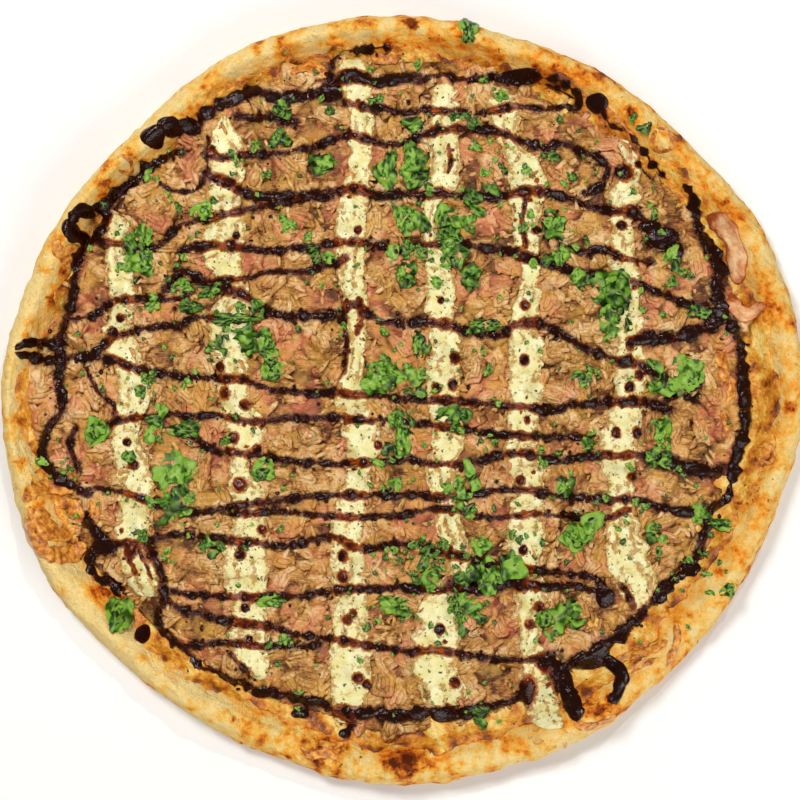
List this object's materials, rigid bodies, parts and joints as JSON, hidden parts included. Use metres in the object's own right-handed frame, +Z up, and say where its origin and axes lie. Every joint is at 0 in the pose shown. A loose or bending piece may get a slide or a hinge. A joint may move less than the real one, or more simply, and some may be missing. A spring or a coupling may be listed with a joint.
{
  "type": "tuna pizza",
  "caption": "Whole oval pizza with a raised browned rim, a bed of flaked tuna, piped cream strips, a lattice and ring of dark glossy sauce, and scattered parsley leaves.",
  "frame": {"origin": "middle of the flat underside of the crust, below the middle of the object's box", "axes": "+Z up out of the topping, the cream strips run along Y, the sauce rows run along X"},
  "size_m": [0.3234, 0.3102, 0.0201],
  "materials": {
    "crust": "dry baked dough, matt, browned in patches, pale and floury on the outside",
    "melted_cheese": "melted golden cheese, softly glossy, with brown blisters",
    "tuna": "cooked flaked tuna, moist and fibrous, with dark sauce on it",
    "cream": "thick pale yellow cream sauce, smooth and slightly glossy",
    "pink_tuna": "moist pink flake",
    "parsley": "fresh flat green leaf, softly glossy"
  },
  "bodies": {
    "root": {"crust": "crust", "melted_cheese": "melted_cheese", "tuna": "tuna", "cream_strip_1": "cream", "cream_strip_2": "cream", "cream_strip_3": "cream", "cream_strip_4": "cream", "cream_strip_5": "cream", "cream_strip_6": "cream", "rim_flake_long": "pink_tuna", "rim_flake_curl": "pink_tuna", "parsley_01": "parsley", "parsley_02": "parsley", "parsley_03": "parsley", "parsley_04": "parsley", "parsley_05": "parsley", "parsley_06": "parsley", "parsley_07": "parsley", "parsley_08": "parsley", "parsley_09": "parsley", "parsley_10": "parsley", "parsley_11": "parsley", "parsley_12": "parsley", "parsley_13": "parsley", "parsley_14": "parsley", "parsley_15": "parsley", "parsley_16": "parsley", "parsley_17": "parsley", "parsley_18": "parsley", "parsley_19": "parsley", "parsley_20": "parsley", "parsley_21": "parsley", "parsley_22": "parsley", "parsley_23": "parsley", "parsley_24": "parsley", "parsley_25": "parsley", "parsley_26": "parsley", "parsley_27": "parsley", "parsley_28": "parsley", "parsley_29": "parsley", "parsley_30": "parsley", "parsley_31": "parsley", "parsley_32": "parsley", "parsley_33": "parsley", "parsley_34": "parsley", "parsley_35": "parsley", "parsley_36": "parsley", "parsley_37": "parsley", "parsley_38": "parsley", "parsley_39": "parsley", "parsley_40": "parsley", "parsley_41": "parsley", "parsley_42": "parsley", "parsley_43": "parsley", "parsley_44": "parsley"}
  },
  "joints": []
}
